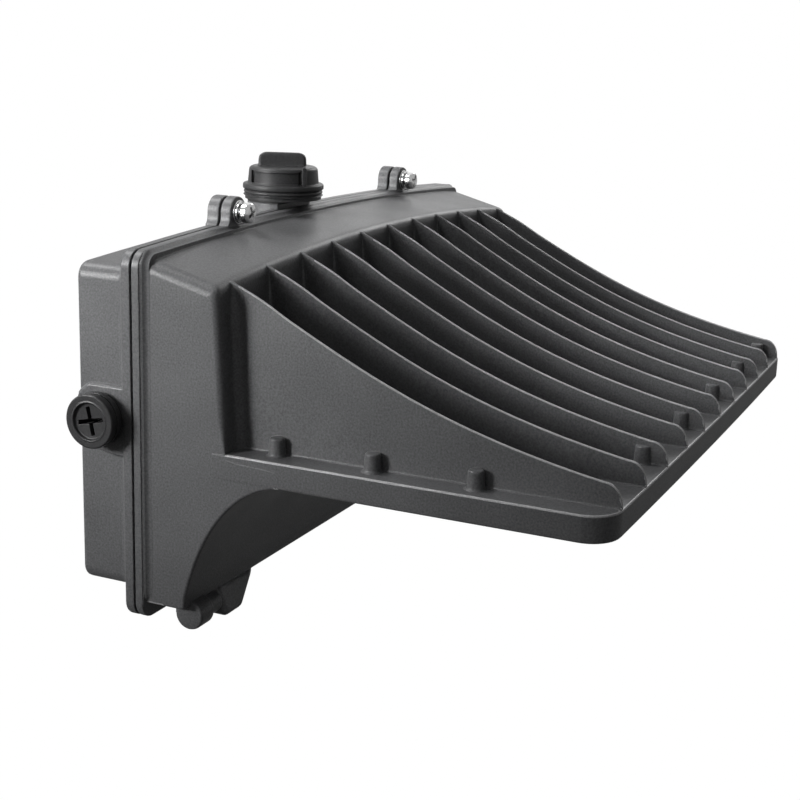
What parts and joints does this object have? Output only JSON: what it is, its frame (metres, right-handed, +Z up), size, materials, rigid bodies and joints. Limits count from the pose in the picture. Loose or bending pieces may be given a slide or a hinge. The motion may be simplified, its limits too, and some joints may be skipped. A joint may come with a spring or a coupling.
{
  "type": "wall pack light",
  "caption": "Full cutoff LED wall pack light: shallow rear housing, hinged finned cover with a wide flat tray, twist-on photocell cap and side conduit plugs.",
  "frame": {"origin": "middle of the wall face, on the wall plane, level with the conduit plugs' axis", "axes": "+X along the wall to the right seen from the front, -Y out of the wall towards the front, +Z up; the wall face looks along +Y"},
  "size_m": [0.3706, 0.2546, 0.2075],
  "materials": {
    "charcoal_casting": "fine textured powder coat, semi-matte",
    "frame_coat": "fine textured powder coat, semi-matte",
    "dark_plastic": "moulded, satin",
    "black_rubber": "matt",
    "pale_silicone": "matt",
    "bright_steel": "polished stainless steel",
    "pin_steel": "ground",
    "zinc_nut": "zinc plated",
    "green_screw": "green plated",
    "lead_cover": "black, white and red or green sleeves",
    "green_lead": "green sleeve, tinned ring",
    "low_lead": "red and black sleeves",
    "connector_plastic": "moulded, orange and yellow",
    "ivory_plastic": "moulded",
    "driver_case": "satin, potted inside",
    "white_board": "metal core with white mask",
    "chip_phosphor": "phosphor over white package",
    "clear_lens": "clear tempered"
  },
  "bodies": {
    "housing": {"rear_housing": "charcoal_casting", "housing_gasket": "black_rubber", "plug_seals": "black_rubber", "receptacle_gasket": "black_rubber", "photocell_receptacle": "dark_plastic", "receptacle_nut": "zinc_nut", "photocell_leads": "lead_cover", "wire_connectors": "connector_plastic", "supply_leads": "lead_cover", "supply_socket": "ivory_plastic", "ground_screw": "green_screw", "ground_lead": "green_lead"},
    "cover": {"front_cover": "charcoal_casting", "hinge_pins": "pin_steel", "led_driver": "driver_case", "driver_screws": "bright_steel", "driver_leads": "lead_cover", "driver_plug": "ivory_plastic", "led_leads": "low_lead", "lead_grommet": "black_rubber", "led_board": "white_board", "led_chips": "chip_phosphor", "board_screws": "bright_steel", "lens_gasket": "pale_silicone", "lens_panel": "clear_lens", "lens_frame": "frame_coat", "lens_screws": "bright_steel", "flat_washers": "bright_steel", "spring_washers": "bright_steel"},
    "cover_screw_left": {"cover_screw_left": "bright_steel"},
    "cover_screw_right": {"cover_screw_right": "bright_steel"},
    "conduit_plug_left": {"conduit_plug_left": "dark_plastic"},
    "conduit_plug_right": {"conduit_plug_right": "dark_plastic"},
    "photocell_cap": {"photocell_cap": "dark_plastic"}
  },
  "joints": [
    {"name": "cover_hinge", "type": "hinge", "parent": "housing", "child": "cover", "pos_m": [0, -0.054, -0.0904], "axis": [1, 0, 0], "range_deg": [0, 120]},
    {"name": "cover_screw_left_turn", "type": "hinge", "parent": "cover", "child": "cover_screw_left", "pos_m": [-0.0945, -0.0316, 0.086], "axis": [0, -1, 0], "continuous": true},
    {"name": "cover_screw_right_turn", "type": "hinge", "parent": "cover", "child": "cover_screw_right", "pos_m": [0.0945, -0.0316, 0.086], "axis": [0, -1, 0], "continuous": true},
    {"name": "conduit_plug_left_turn", "type": "hinge", "parent": "housing", "child": "conduit_plug_left", "pos_m": [-0.18, -0.0133, 0], "axis": [-1, 0, 0], "continuous": true},
    {"name": "conduit_plug_right_turn", "type": "hinge", "parent": "housing", "child": "conduit_plug_right", "pos_m": [0.18, -0.0133, 0], "axis": [1, 0, 0], "continuous": true},
    {"name": "photocell_twist", "type": "hinge", "parent": "housing", "child": "photocell_cap", "pos_m": [-0.027, -0.0229, 0.0875], "axis": [0, 0, 1], "range_deg": [0, 35]}
  ]
}
